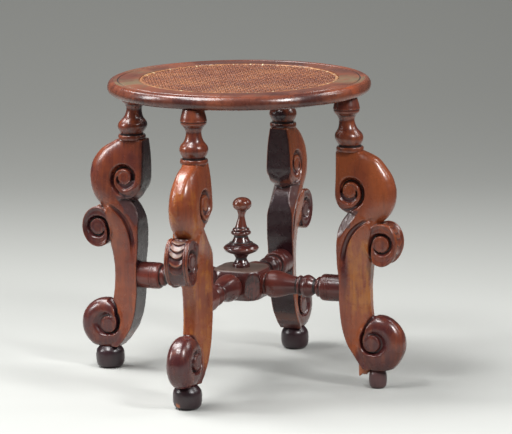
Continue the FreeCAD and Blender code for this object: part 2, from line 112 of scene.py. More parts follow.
def signed_distance(x, z, outline):
    """Distance to a closed outline, negative inside it."""
    loop = np.vstack([outline, outline[:1]])
    distance, _ = line_distance(x, z, loop)
    inside = np.zeros(x.shape, bool)
    for a, b in zip(loop[:-1], loop[1:]):
        if a[1] == b[1]:
            continue
        crosses = (z < a[1]) != (z < b[1])
        inside ^= crosses & (x < a[0] + (z - a[1]) * (b[0] - a[0]) / (b[1] - a[1]))
    return np.where(inside, -distance, distance)


def smooth_max(a, b, k):
    h = np.clip(0.5 + 0.5 * (a - b) / k, 0, 1)
    return b + (a - b) * h + k * h * (1 - h)


def smooth_min(a, b, k):
    return -smooth_max(-a, -b, k)


def ease(low, high, value):
    t = np.clip((value - low) / (high - low), 0, 1)
    return t * t * (3 - 2 * t)


def hump(value, centre, width):
    """A soft hump of height 1 about a centre."""
    return np.exp(-(((value - centre) / width) ** 2))


def rounded(depth, width, drop):
    """How far a rounded-over edge lies below the face, at a depth inside the edge."""
    u = np.clip(1 - depth / width, 0, 1)
    return drop * (1 - np.sqrt(np.clip(1 - u * u, 0, 1)))


def channel(distance, half_width, depth, lip=0):
    """A round-bottomed groove, with a lip that it throws up if one is given."""
    u = np.clip(distance / half_width, 0, 1)
    return depth * np.sqrt(1 - u * u) + lip * hump(distance, 0, 1.7 * half_width)


# Meshes

def box_blur(field, cells):
    """A mean over a cube of cells, one axis after the other."""
    width = 2 * cells + 1
    for axis in range(3):
        pad = [(0, 0)] * 3
        pad[axis] = (cells + 1, cells)
        total = np.cumsum(np.pad(field, pad, mode="edge"), axis=axis, dtype=np.float64)
        high = np.take(total, range(width, total.shape[axis]), axis=axis)
        low = np.take(total, range(0, total.shape[axis] - width), axis=axis)
        field = ((high - low) / width).astype(np.float32)
    return field


def sample(field, cells):
    """The field's value at fractional cell places."""
    top = np.array(field.shape) - 2
    base = np.clip(np.floor(cells).astype(int), 0, top)
    t = np.clip(cells - base, 0, 1)
    value = 0
    for corner in np.ndindex(2, 2, 2):
        value = value + np.where(corner, t, 1 - t).prod(axis=1) * field[tuple((base + corner).T)]
    return value


def carve(field, origin, cell, hollow_radius):
    """Meshes a distance field, with how hollow the surface is at each point."""
    grid = openvdb.FloatGrid(float(cell * 4))
    grid.copyFromArray(np.ascontiguousarray(field, dtype=np.float32))
    points, quads = grid.convertToQuads(0)
    occupied = box_blur(np.clip(0.5 - field / cell, 0, 1).astype(np.float32), round(hollow_radius / cell))
    hollow = (sample(occupied, points) - 0.5) * 2
    return points * cell + np.asarray(origin), quads[:, ::-1].tolist(), hollow


def grid_faces(rows, columns, ring=False, loop=False):
    """Quads over rows of points. A ring closes each row, a loop joins the last row to the first."""
    faces = []
    for i in range(rows if loop else rows - 1):
        above = (i + 1) % rows
        for j in range(columns if ring else columns - 1):
            k = (j + 1) % columns
            faces.append((i * columns + j, i * columns + k, above * columns + k, above * columns + j))
    return faces


def turned_over(faces):
    """The same quads, facing the other way."""
    return [(a, d, c, b) for a, b, c, d in faces]


def shifted(faces, base):
    """The same faces, on points that follow so many others."""
    return [tuple(base + k for k in face) for face in faces]


def link_object(name, data):
    made = bpy.data.objects.new(name, data)
    bpy.context.scene.collection.objects.link(made)
    return made


def new_object(name, points, faces, hollow=None, sharp=None, tones=None):
    """A mesh object that keeps its hollowness and tones at every point."""
    mesh = bpy.data.meshes.new(name)
    mesh.from_pydata((np.asarray(points) * MM).tolist(), [], faces)
    mesh.shade_smooth()
    if sharp is not None:
        mesh.set_sharp_from_angle(angle=math.radians(sharp))
    kept = dict(tones or {})
    if hollow is not None:
        kept["hollow"] = hollow
    for attribute_name, values in kept.items():
        attribute = mesh.attributes.new(attribute_name, "FLOAT", "POINT")
        attribute.data.foreach_set("value", np.asarray(values, dtype=np.float32))
    return link_object(name, mesh)


# A turned face's sharpest angle that still shades smoothly, in degrees
TURNED_SHARP = 50


def lathe_mesh(profile, segments=96, wobble=0.1):
    """A turned form's points, faces and hollowness, from (radius, height) points."""
    line = np.asarray(profile, float)
    steps = np.linalg.norm(np.diff(line, axis=0), axis=1)
    line = line[np.concatenate([[True], steps > 1e-6])]
    angle = np.linspace(0, 2 * math.pi, segments, endpoint=False)
    radius, height = line[:, :1], line[:, 1:]
    radius = radius + wobble * np.sin(2 * angle + height * 0.05) * (radius > 0.5)
    points = np.stack([radius * np.cos(angle), radius * np.sin(angle), height + 0 * angle], axis=2)
    last = (len(line) - 1) * segments
    faces = grid_faces(len(line), segments, ring=True)
    faces += [tuple(range(segments))[::-1], tuple(range(last, last + segments))]
    return points.reshape(-1, 3), faces, np.repeat(profile_hollow(line), segments)


def profile_hollow(line, reach=2.5, gain=1.6):
    """How far each profile point lies inside the mean of its neighbours."""
    steps = np.linalg.norm(np.diff(line, axis=0), axis=1)
    along = np.concatenate([[0], np.cumsum(steps)])
    tangent = np.gradient(line, along, axis=0)
    tangent /= np.maximum(np.linalg.norm(tangent, axis=1, keepdims=True), 1e-9)
    normal = np.stack([tangent[:, 1], -tangent[:, 0]], axis=1)
    before, after = (
        np.stack([np.interp(along + shift, along, line[:, k]) for k in (0, 1)], axis=1) for shift in (-reach, reach)
    )
    middle = (before + after) / 2
    return np.clip(((middle - line) * normal).sum(axis=1) / reach * gain, -1, 1)


def stepped_profile(steps, base, top, widest, spacing=0.5):
    """A turned profile's points in millimetres, from its steps in thousandths."""
    sized = [
        [np.array([widest * (wide / 1000), base + (top - base) * (along / 1000)]) for along, wide in step]
        for step in steps
    ]
    line = [sized[0][0]]
    for points in sized[1:]:
        if len(points) == 1:
            start, end = line[-1], points[0]
            count = max(2, int(np.linalg.norm(end - start) / spacing))
            line += [start + (end - start) * t for t in np.linspace(0, 1, count)[1:]]
        else:
            line += list(smooth_line([line[-1]] + points, steps=8)[1:])
    return np.array(line)


# The turned profiles, in steps of thousandths of the (length, widest radius). A step of one point is a
# line, and one of more a smooth curve.
NECK_STEPS = (
    ((0, 926),),
    ((12, 952), (42, 968), (72, 952), (84, 926)),
    ((84, 768),),
    ((110, 768),),
    ((150, 860), (200, 950), (261, 1000), (330, 930), (430, 660), (566, 542), (665, 660)),
    ((690, 760), (720, 865), (745, 905), (764, 912)),
    ((768, 885),),
    ((776, 885),),
    ((782, 926), (796, 936), (812, 920)),
    ((860, 890), (930, 815), (1000, 739)),
)
FOOT_STEPS = (
    ((0, 0),),
    ((0, 640),),
    ((20, 720), (120, 900), (280, 975), (460, 1000), (640, 990), (790, 940), (910, 820), (1000, 700)),
)
ARM_STEPS = (
    ((0, 780),),
    ((6, 835), (14, 850), (22, 835), (28, 800)),
    ((34, 800),),
    ((55, 960), (104, 1020), (185, 975), (297, 780), (418, 630)),
    ((426, 630),),
    ((436, 735), (448, 764), (458, 735), (470, 640)),
    ((485, 700), (515, 800), (543, 846), (570, 815), (605, 690), (640, 550), (665, 620)),
    ((680, 735), (700, 764), (716, 740)),
    ((722, 740),),
    ((735, 930), (755, 985), (780, 1000)),
    ((805, 1000),),
    ((808, 978), (812, 1000)),
    ((835, 1000),),
    ((838, 978), (842, 1000)),
    ((960, 985),),
    ((1000, 975),),
)
FINIAL_STEPS = (
    ((0, 490),),
    ((45, 490),),
    ((60, 470), (90, 400), (150, 315), (200, 385), (235, 500)),
    ((245, 600), (280, 860), (330, 1000), (370, 950), (410, 760)),
    ((414, 690),),
    ((436, 670),),
    ((440, 540),),
    ((470, 500), (510, 435), (545, 395), (566, 400)),
    ((570, 470),),
    ((580, 535), (600, 570), (622, 565), (640, 510)),
    ((644, 455),),
    ((656, 480), (672, 475), (690, 420)),
    ((694, 365),),
    ((730, 320), (790, 265), (860, 205), (900, 190), (950, 220), (1000, 285)),
)
BALL_STEPS = (
    ((0, 500),),
    ((80, 720), (220, 920), (380, 990), (520, 1000), (680, 930), (820, 760), (940, 460), (1000, 0)),
)


# The carved leg

LEG_CELL = 0.9
BULGE = ((190, 344), (201.5, 338.9), (213, 331.8), (224, 320.6), (231.9, 308.3), (235.5, 295.1),
         (236, 283.9), (233.7, 268.6), (227.7, 254.4), (217.2, 242.1))
CURL_EYE = (175.8, 288.3)
CURL_CENTRE = (176, 284)
CURL_RADIUS = 26
MID_CENTRE = (221, 212.5)
MID_RADII = (24.5, 30)
EGG_CENTRE = (214.5, 66)
EGG_RADIUS = 38.5
EGG_EYE = (206.2, 67)
THROAT = ((158.5, 161.2), (156.9, 170.9), (155.7, 182.5), (155, 200), (155.2, 216.5), (156.2, 231),
          (162.1, 244.6), (172.8, 258.2))
HEEL = ((192.5, 33), (183.3, 43.8), (175.5, 54.6), (170.1, 63.6), (166, 74.4), (162.6, 87),
        (159.9, 105), (158.5, 123))
STEM_OUTER = ((206.5, 200), (204.6, 192), (200.4, 170), (198.2, 147), (199.6, 122), (203, 102.1),
              (206, 94))
# The stem's section is a wedge: widest at its inner edge, and narrower by this much a millimetre
STEM_TAPER = 0.28
INNER_EDGE = HEEL + THROAT
# The upper scroll's tail, a ridge down the stem: its inner crest, and the groove outside it
TAIL_CREST = ((196.6, 272.4), (194.2, 264.7), (187.7, 255.7), (179.4, 245.2), (171.2, 234.7), (164.7, 224.2),
              (160.7, 211.9), (158.5, 196.3), (158, 177.6))
TAIL_GROOVE = ((216, 246), (208, 247.6), (199.7, 245.6), (191.3, 240.6), (183, 234), (175.6, 225.1),
               (170.8, 216), (166.8, 205.2), (164.5, 192.8), (163.8, 181.9), (163.6, 168))

# Every volute's eye, eye radius and channel, as stations of (turn, inner radius, outer radius, depth)
VOLUTES = (
    (CURL_EYE, 9, (
        (20, 9, 10, 0), (0, 9, 12.5, 3.5), (-60, 9.2, 17, 7), (-90, 9.4, 20.5, 7.5),
        (-180, 10.2, 19, 8), (-270, 11.5, 21.8, 8.5), (-360, 14.6, 24, 8), (-420, 20, 28, 7),
        (-457, 25.5, 31, 5), (-470, 27, 34, 4),
    )),
    (MID_CENTRE, 10.8, (
        (190, 10.9, 12, 0), (215, 10.9, 14.5, 3), (250, 10.9, 17, 5), (300, 10.9, 18.5, 5.5),
        (360, 11, 19.5, 6), (450, 11.4, 18, 6), (540, 12.6, 20.6, 7), (570, 16.5, 25, 7),
        (589, 22, 31, 5), (600, 26, 35, 4),
    )),
    (EGG_EYE, 11.2, (
        (130, 11.2, 14, 0), (80, 11.2, 20, 4.5), (0, 11.2, 27, 5.5), (-60, 11.3, 20, 6),
        (-90, 11.4, 17, 7), (-180, 12, 19.5, 8.5), (-230, 16, 24.5, 8.5), (-264, 29, 38, 6),
        (-275, 33, 43, 5),
    )),
)

# Half the plank's thickness, as (half, height)
HALF_THICKNESS = (
    (16.5, 30), (18.6, 60), (20.4, 142), (20.8, 205), (20.4, 250), (20.2, 284), (18.2, 318), (14, 346),
)
# How the bulge's edge is rounded over at a height, as (height, width, drop)
BULGE_ROUNDING = ((300, 28, 18.5), (325, 22, 14), (344, 14, 8))
BULGE_FOOT = ((207.8, 232.4), (188.3, 249.3))
STEM_HEAD = ((172.8, 258.2), (212, 255), (202, 204))
STEM_FOOT = ((200, 90), (202.5, FOOT_TOP))
# How the other edges are rounded over, as (width, drop)
BLOCK_ROUNDING, STEM_ROUNDING, EGG_ROUNDING = (4, 3), (6, 3.5), (18, 15.5)
EGG_HALF = 17.5
SCOOP_SLOPE, SCOOP_DEPTH = 0.62, 9
TAIL_GROOVE_DEPTH = 4.4


# How a volute's eye rounds over (width, drop), and the shares of its channel's width where its wall
# ends and its floor starts to rise
EYE_ROUND = (3.5, 1.6)
CHANNEL_WALL, CHANNEL_RISE = 0.22, 0.25


def volute_cut(r, z, eye, eye_radius, stations):
    """How deep a volute's channel cuts: steep beside the eye, and rising outwards."""
    turns, inner, outer, depth = np.array(sorted(stations), float).T
    reach = np.hypot(r - eye[0], z - eye[1])
    angle = np.degrees(np.arctan2(z - eye[1], r - eye[0]))
    cut = rounded(eye_radius - reach, *EYE_ROUND) * (reach < eye_radius)
    for winding in range(-2, 3):
        at = angle + 360 * winding
        low = np.interp(at, turns, inner)
        high = np.interp(at, turns, outer)
        share = (reach - low) / np.maximum(high - low, 0.1)
        wall = ease(0, CHANNEL_WALL, share)
        rise = 0.5 + 0.5 * np.cos(math.pi * np.clip((share - CHANNEL_RISE) / (1 - CHANNEL_RISE), 0, 1))
        inside = (at > turns[0]) & (at < turns[-1]) & (share > 0) & (share < 1)
        cut = np.maximum(cut, np.where(inside, np.interp(at, turns, depth) * wall * rise, 0))
    return cut


def leg_grooves(r, z, tail):
    """How deep the leg's sides are cut, with so much of the tail's groove."""
    cut = np.zeros(r.shape)
    for eye, eye_radius, stations in VOLUTES:
        cut = np.maximum(cut, volute_cut(r, z, eye, eye_radius, stations))
    distance, along = line_distance(r, z, smooth_line(TAIL_GROOVE, steps=6))
    fade = ease(0, 0.32, along) * (1 - ease(0.72, 1, along))
    half_width = 2.6 + 1.6 * ease(0.05, 0.45, along)
    return np.maximum(cut, tail * fade * channel(distance, half_width, TAIL_GROOVE_DEPTH, lip=0.2))


def inward_of_crest(r, z):
    """How far a place lies inwards of the tail's crest."""
    return across_at(z, TAIL_CREST[::-1]) - r


def scoop_depth(r, z):
    """How far the tool-marked facet inwards of the tail's crest falls away."""
    distance, _ = line_distance(r, z, smooth_line(TAIL_CREST, steps=5))
    ripple = 0.07 * np.sin(z * 0.55 + r * 0.21) * np.sin(r * 0.43 - z * 0.12 + 1)
    fall = np.minimum(SCOOP_SLOPE * distance + ripple * ease(1, 4, distance), SCOOP_DEPTH)
    return fall * (inward_of_crest(r, z) > 0) * ease(206, 236, z)


def leg_sides(r, z):
    """The signed outline of the sawn leg and its half thickness everywhere."""
    half = across_at(z, smooth_line(HALF_THICKNESS))
    bulge = smooth_line(BULGE)
    curl = arc_line(CURL_CENTRE, (CURL_RADIUS, CURL_RADIUS), -97, -180)
    upper = np.vstack([[(BLOCK_INNER, SHOULDER)], bulge, BULGE_FOOT, curl])
    stem_outer = smooth_line(STEM_OUTER)
    stem = np.vstack([STEM_HEAD, stem_outer, STEM_FOOT, smooth_line(HEEL), smooth_line(THROAT)])
    egg = np.hypot(r - EGG_CENTRE[0], z - EGG_CENTRE[1]) - EGG_RADIUS
    upper_side = signed_distance(r, z, upper)
    stem_side = signed_distance(r, z, stem)
    bulge_depth, _ = line_distance(r, z, bulge)
    stem_depth, _ = line_distance(r, z, stem_outer)
    block_depth = np.clip(r - BLOCK_INNER, 0, None)
    heights, widths, drops = zip(*BULGE_ROUNDING)
    upper_half = half - rounded(bulge_depth, np.interp(z, heights, widths), np.interp(z, heights, drops))
    upper_half = upper_half - rounded(block_depth, *BLOCK_ROUNDING)
    curl_depth, curl_along = line_distance(r, z, curl)
    under = ease(1, 0.25, curl_along)
    upper_half = upper_half - rounded(curl_depth, 3 + 7 * under, 2 + 9 * under)
    taper = STEM_TAPER * np.clip(r - across_at(z, INNER_EDGE) - 2, 0, None) * ease(248, 150, z)
    stem_half = half - taper - rounded(stem_depth, *STEM_ROUNDING) - scoop_depth(r, z)
    egg_half = EGG_HALF - rounded(np.clip(-egg, 0, None), *EGG_ROUNDING)
    egg = np.maximum(egg, FOOT_TOP - z)
    body = smooth_min(upper_side, stem_side, 1.5)
    upper_share = ease(-2.5, 2.5, stem_side - upper_side)
    body_half = stem_half + (upper_half - stem_half) * upper_share
    total_half = smooth_max(np.where(body < 1, body_half, 0), np.where(egg < 1, egg_half, 0), 2.5)
    return np.minimum(body, egg), total_half


# The keel under the curl, in the middle of the plank: its drop, half thickness and outer end
KEEL_DROP, KEEL_HALF, KEEL_END = 9, 17, 184

# The husks on the middle scroll's rim: how far down the rim each tip lies, and the cut below it
HUSK_TIPS = ((-8, 2), (8, 2.4), (20.3, 2.8), (30.6, 3), (39.1, 4), (50.4, 3), (62.2, 3.2))
HUSK_END = 84
HUSK_HALF = 10.2
# Where the tips start, the rim's mean radius, and how far the tips' sides hang back
HUSK_TOP = math.radians(100)
RIM_RADIUS = 27
HUSK_SLANT, HUSK_SLANT_POWER = 5.5, 2.2
# The lines beside the husks: distance from the middle, half width and depth
RIM_LINES = ((10.8, 1, 1.8), (14, 0.8, 1.2))

# The middle scroll's half thickness, its rim's rounding, and the steps in its sides (from, to, drop)
SCROLL_HALF = 18
SCROLL_ROUNDING = (3, 2.2)
SCROLL_STEPS = ((2.4, 3.2, 0.9), (4.8, 5.4, 0.7))


def husk_shares(r, y, z):
    """Where each place lies: the tip above it, the share of the way to the next, across, and down."""
    angle = np.arctan2((z - MID_CENTRE[1]) / MID_RADII[1], (r - MID_CENTRE[0]) / MID_RADII[0])
    across = np.abs(y) / HUSK_HALF
    down = (HUSK_TOP - angle) * RIM_RADIUS
    slanted = down + HUSK_SLANT * across**HUSK_SLANT_POWER
    tips = np.array([tip for tip, _ in HUSK_TIPS] + [HUSK_END])
    index = np.clip(np.searchsorted(tips, slanted) - 1, 0, len(tips) - 2)
    share = (slanted - tips[index]) / (tips[index + 1] - tips[index])
    return index, share, across, down


def husk_relief(r, y, z):
    """How deep the overlapping husks are cut into the middle scroll's rim."""
    index, share, across, down = husk_shares(r, y, z)
    deep = np.array([depth for _, depth in HUSK_TIPS])[index]
    inside = (share > 0) & (share <= 1)
    cut = np.where(inside, deep * np.clip(1 - share, 0, 1) ** 0.8 * ease(0, 0.1, share), 0)
    relief = (0.7 + cut) * ease(1.04, 0.94, across)
    for middle, half_width, depth in RIM_LINES:
        relief = np.maximum(relief, channel(np.abs(np.abs(y) - middle), half_width, depth))
    return relief * ease(96, HUSK_END, down)


def steepness(height, most):
    """How much longer a sloping face is than its flat shadow, up to a limit."""
    return np.minimum(np.sqrt(1 + sum(g**2 for g in np.gradient(height, LEG_CELL))), most)


def leg_field(tail):
    """The carved leg as a distance field on a grid, with the grid's origin."""
    origin = np.array([146, -24, FOOT_TOP - 4])
    high = np.array([256, 24, SHOULDER + 4])
    cells = np.ceil((high - origin) / LEG_CELL).astype(int) + 1
    r_axis, y_axis, z_axis = (origin[k] + LEG_CELL * np.arange(cells[k]) for k in range(3))
    r, z = np.meshgrid(r_axis, z_axis, indexing="ij")
    y = y_axis[None, :, None]

    def deep(plane):
        """A map of the side view, ready to meet the plank's thickness."""
        return plane[:, None, :]

    outline, half = leg_sides(r, z)
    cut = leg_grooves(r, z, tail)
    half = half - cut
    side = (np.abs(y) - deep(half)) / deep(steepness(half, 4))
    solid = smooth_max(np.broadcast_to(deep(outline), side.shape), side, 1.6)
    dr = (r - MID_CENTRE[0]) / MID_RADII[0]
    dz = (z - MID_CENTRE[1]) / MID_RADII[1]
    oval = np.hypot(dr, dz)
    spread = np.hypot(dr / MID_RADII[0], dz / MID_RADII[1]) / np.maximum(oval, 1e-3)
    oval = (oval - 1) / np.maximum(spread, 1e-3)
    depth = np.clip(-oval, 0, None)
    steps = sum(drop * ease(start, end, depth) for start, end, drop in SCROLL_STEPS)
    scroll_half = SCROLL_HALF - rounded(depth, *SCROLL_ROUNDING) - steps - cut
    rim = deep(oval) + husk_relief(deep(r), y, deep(z))
    scroll = smooth_max(rim, (np.abs(y) - deep(scroll_half)) / deep(steepness(scroll_half, 3)), 1.2)
    solid = smooth_min(solid, scroll, 0.8)
    drop = KEEL_DROP * np.clip(1 - np.abs(y) / 20, 0, 1)
    keel = np.hypot(deep(r) - CURL_CENTRE[0], deep(z) - CURL_CENTRE[1] + drop) - CURL_RADIUS + 0.5
    keel = np.maximum(keel, np.maximum(deep(z) - CURL_CENTRE[1], deep(r) - KEEL_END))
    solid = smooth_min(solid, np.maximum(keel, np.abs(y) - KEEL_HALF), 0.8)
    return np.maximum(np.maximum(solid, deep(z) - SHOULDER), FOOT_TOP - deep(z)), origin


# The legs were carved by hand. Smooth pulls: the place (r, z), its reach (r, z), and the shift
LEG_PULLS = {
    "right": (
        ((232, 272), (24, 40), (3.6, 0, 0)),
        ((215, 335), (20, 12), (1, 0, 1.2)),
        ((214, 106), (30, 18), (0, 0, 2.5)),
        ((214, 28), (34, 16), (0, 0, -7)),
        ((200, 145), (12, 45), (3.4, 0, 0)),
        ((150, 310), (10, 50), (3.5, 0, 0)),
        ((222, 184), (26, 10), (0, 0, -2.5)),
    ),
    "back": (
        ((176, 150), (60, 90), (0, 2, 0)),
    ),
    "left": (
        ((206, 338), (16, 10), (0, 0, -1.6)),
        ((150, 310), (10, 50), (-3, 0, 0)),
    ),
    "front": (
        ((236, 216), (26, 34), (0, 1, 0)),
        ((180, 140), (50, 70), (0, 1.2, 0)),
        ((228, 240), (24, 12), (0, 0, 3)),
        ((228, 182), (22, 10), (0, 0, -5)),
    ),
}
# How far each neck leans outwards above its ring, and how much wider its vase is
NECK_LEAN = {"right": -5, "back": 0, "left": -4.3, "front": 0}
NECK_SWELL = {"right": 1, "back": 1, "left": 1.06, "front": 1}


def pulled(points, pulls):
    """The points, moved by each smooth pull."""
    moved = points.copy()
    for (r, z), (reach_r, reach_z), shift in pulls:
        weight = hump(points[:, 0], r, reach_r) * hump(points[:, 2], z, reach_z)
        moved += weight[:, None] * np.array(shift)
    return moved


def leg_tones(points, tail):
    """What every leg keeps, as shares: dark stain, with painted shade in the grooves and above the middle scroll, a
    painted grey sheen on the facet and in the throat, and painted highlights on the husks.
    """
    r, y, z = points.T
    on_side = ease(8, 2, leg_sides(r, z)[1] - np.abs(y))
    # The channels and the tail groove darken with their depth: painted shade
    cut = ease(0.8, 4.2, leg_grooves(r, z, tail)) * on_side
    # The egg and the middle scroll are darker than the stem; the hollow above the scroll is darkened as painted shade
    egg = EGG_RADIUS - np.hypot(r - EGG_CENTRE[0], z - EGG_CENTRE[1])
    egg = 0.72 * ease(-4, -1, egg) * ease(176, 196, r + 0.35 * (66 - z))
    mid = 1 - np.hypot((r - MID_CENTRE[0]) / MID_RADII[0], (z - MID_CENTRE[1]) / MID_RADII[1])
    scroll = 0.75 * ease(-0.06, 0.06, mid) * ease(198, 206, r)
    above = 0.4 * hump(z, 238, 9) * ease(196, 214, r)
    stain = np.clip(np.maximum.reduce([egg, scroll, above]) + cut, 0, 1)
    # A painted grey sheen, standing for light reflected from above, lies on the facet inwards of the crest and under
    # the curl
    facet = ease(0, 1.5, inward_of_crest(r, z)) * ease(206, 238, z) * ease(266, 257, z)
    throat_sheen = ease(232, 238, z) * ease(262, 256, z) * ease(180, 174, r)
    # The upper husks are painted pale, a painted highlight, and below them one tip
    index, share, across, down = husk_shares(r, y, z)
    on_rim = ease(0.2, 0.12, np.abs(mid)) * ease(1, 0.8, across) * (r > 205) * (z < 246)
    pale = ease(0.22, 0.5, share) * on_rim * (index < 4) * ease(0, 8, down)
    pale = np.maximum(pale, ease(0.72, 0.92, share) * on_rim * (index == 4))
    return {"stain": stain * (1 - pale), "grey": np.maximum(facet, throat_sheen), "pale": pale}


def leg_wear(points, stain, side):
    """One leg's own stain and its worn ochre places, as shares."""
    r, y, z = points.T
    worn = np.zeros(len(points))
    if side == "right":
        # An ochre stem with a dark mark at its inner edge, and lighter scrolls
        worn = ease(246, 200, z) * ease(80, 140, z) * ease(160, 184, r)
        worn *= 0.85 * ease(212, 196, r)
        stain = np.maximum(stain, 0.78 * hump(r, 167, 6) * hump(z, 172, 36))
        egg = ease(228, 244, r) * ease(110, 100, z)
        scroll = ease(196, 206, r) * ease(176, 186, z) * ease(248, 240, z)
        stain = stain * (1 - 0.35 * egg) * (1 - 0.35 * scroll)
    if side == "left":
        # Darker all over, most of all low on the bulge, at the block and at a mark
        low = hump(z, 275, 30)
        block = ease(212, 196, r) * ease(285, 305, z)
        mark = hump(r, 230, 4) * hump(z, 296, 12)
        stain = np.maximum(stain, 0.38 + np.maximum(0.14 * np.maximum(low, block), 0.35 * mark))
    if side == "front":
        # A rubbed egg, and a little ochre on the stem and the bulge
        worn = 0.7 * hump(z, 48, 16) * hump(y, 2, 7) * ease(236, 246, r)
        worn = np.maximum(worn, 0.42 * ease(330, 300, z) * ease(0.5, 0.2, stain))
    return stain, worn


def carved_leg(tail):
    """One carving of the leg: its points, faces, hollowness and tones."""
    field, origin = leg_field(tail)
    points, faces, hollow = carve(field, origin, LEG_CELL, 2.7)
    return points, faces, hollow, leg_tones(points, tail)


def placed_neck(points, side):
    """The neck at its reach, leaning and swollen as that leg's is."""
    height = (points[:, 2] - SHOULDER) / (SEAT_BOTTOM - SHOULDER)
    swell = 1 + (NECK_SWELL[side] - 1) * hump(height, 0.25, 0.25)
    lean = NECK_LEAN[side] * ease(0.05, 0.65, height)
    return np.stack([points[:, 0] * swell + NECK_REACH + lean, points[:, 1] * swell, points[:, 2]], axis=1)


# Materials

class Shading:
    """A new material's nodes, with short calls for what the finishes are made of."""

    def __init__(self, name):
        self.material = bpy.data.materials.new(name)
        self.material.use_nodes = True
        self.tree = self.material.node_tree
        self.tree.nodes.clear()
        self.shader = self.add("ShaderNodeBsdfPrincipled")
        self.feed(self.shader.outputs[0], self.add("ShaderNodeOutputMaterial").inputs[0])
        self.coordinates = self.add("ShaderNodeTexCoord").outputs
        self.place = self.coordinates["Object"]

    def add(self, kind, **values):
        made = self.tree.nodes.new(kind)
        for name, value in values.items():
            setattr(made, name, value)
        return made

    def feed(self, value, socket):
        """Sets a socket to a constant, or links another node's output to it."""
        if isinstance(value, (int, float, tuple)):
            socket.default_value = value
        else:
            self.tree.links.new(value, socket)

    def finish(self, **values):
        """Feeds the shader's sockets, named with underscores in place of spaces."""
        for name, value in values.items():
            self.feed(value, self.shader.inputs[name.replace("_", " ")])

    def math(self, operation, *values):
        made = self.add("ShaderNodeMath", operation=operation)
        for value, socket in zip(values, made.inputs):
            self.feed(value, socket)
        return made.outputs[0]

    def times(self, a, b):
        return self.math("MULTIPLY", a, b)

    def plus(self, a, b):
        return self.math("ADD", a, b)

    def split(self, vector):
        made = self.add("ShaderNodeSeparateXYZ")
        self.feed(vector, made.inputs[0])
        return made.outputs

    def mix(self, share, a, b):
        """From colour a to b. A triple is a screen colour of 0 to 255."""
        made = self.add("ShaderNodeMix", data_type="RGBA", blend_type="MIX")
        self.feed(share, made.inputs[0])
        for colour, socket in ((a, made.inputs[6]), (b, made.inputs[7])):
            self.feed(srgb(*colour) if isinstance(colour, tuple) and len(colour) == 3 else colour, socket)
        return made.outputs[2]

    def ramp(self, value, low, high):
        """Maps a value from low..high to 0..1, smoothly."""
        made = self.add("ShaderNodeMapRange", interpolation_type="SMOOTHSTEP")
        for name, given in (("Value", value), ("From Min", low), ("From Max", high)):
            self.feed(given, made.inputs[name])
        return made.outputs["Result"]

    def noise(self, scale, detail=3, stretch=None, roughness=0.55, distortion=0):
        """Noise at so many features per metre, drawn out along the axes by stretch."""
        vector = self.place
        if stretch is not None:
            mapping = self.add("ShaderNodeMapping")
            self.feed(stretch, mapping.inputs["Scale"])
            self.feed(vector, mapping.inputs["Vector"])
            vector = mapping.outputs[0]
        made = self.add("ShaderNodeTexNoise")
        given = {"Vector": vector, "Scale": scale, "Detail": detail, "Roughness": roughness, "Distortion": distortion}
        for name, value in given.items():
            self.feed(value, made.inputs[name])
        return made.outputs["Fac"]

    def kept(self, name):
        """What the mesh keeps at each point under a name."""
        return self.add("ShaderNodeAttribute", attribute_name=name).outputs["Fac"]

    def bump(self, height, strength, distance):
        made = self.add("ShaderNodeBump")
        for name, value in (("Strength", strength), ("Distance", distance), ("Height", height)):
            self.feed(value, made.inputs[name])
        self.feed(made.outputs[0], self.shader.inputs["Normal"])


def srgb(red, green, blue):
    """A shader colour from screen values of 0 to 255."""
    def linear(value):
        value = value / 255
        return value / 12.92 if value <= 0.04045 else ((value + 0.055) / 1.055) ** 2.4
    return (linear(red), linear(green), linear(blue), 1)


# What each kept tone does: its colour, the range that it grows over, its strength and how far its edges
# wander. "inner" isn't kept, it lies on faces that look towards the axis, and is painted shade.
LEG_TONES = (
    ("worn", (160, 98, 40), 0.3, 1.1, 0.8, 2.2),
    ("stain", (60, 25, 31), 0.15, 0.85, 0.9, 0.7),
    ("inner", (32, 13, 22), 0.7, 0.92, 0.95, 0),
    # The grey is a painted sheen, light reflected from above
    ("grey", (68, 55, 58), 0.2, 0.8, 0.75, 0.8),
    # On the legs the pale is a painted highlight on the husks
    ("pale", (98, 87, 77), 0.15, 0.85, 0.8, 0.9),
)
TURNED_TONES = (
    ("worn", (168, 92, 46), 0.2, 0.9, 0.85, 0.8),
    ("stain", (48, 20, 26), 0.15, 0.85, 0.88, 0.7),
)
SEAT_TONES = (
    ("worn", (150, 70, 38), 0.25, 0.85, 0.8, 0.8),
    ("pale", (104, 94, 70), 0.3, 1, 0.8, 1.2),
    ("stain", (50, 22, 24), 0.25, 0.95, 0.85, 1.2),
)
HUB_TONES = (
    ("pale", (100, 80, 70), 0.2, 0.9, 0.8, 0.8),
    ("stain", (34, 15, 17), 0.3, 0.9, 0.8, 2.4),
)
# The grain's stretch for upright pieces, for the arms and for the seat ring
GRAIN_UP, GRAIN_LENGTHWISE, GRAIN_RING = (1, 1, 0.08), (0.08, 1, 1), (1, 0.12, 1)
# The near-black painted into hollows: painted shade
HOLLOW_SHADE_COLOUR = (14, 8, 9)


def tone_share(s, spread, tone, low, high, strength, wander):
    """How much of a tone shows: what the mesh keeps, with wandering edges."""
    # Faces that turn towards the stool's axis are darkened by their facing: painted shade
    if tone == "inner":
        value = s.times(s.split(s.coordinates["Normal"])[0], -1)
    else:
        value = s.plus(s.kept(tone), s.times(spread, wander))
    return s.times(s.ramp(value, low, high), strength)


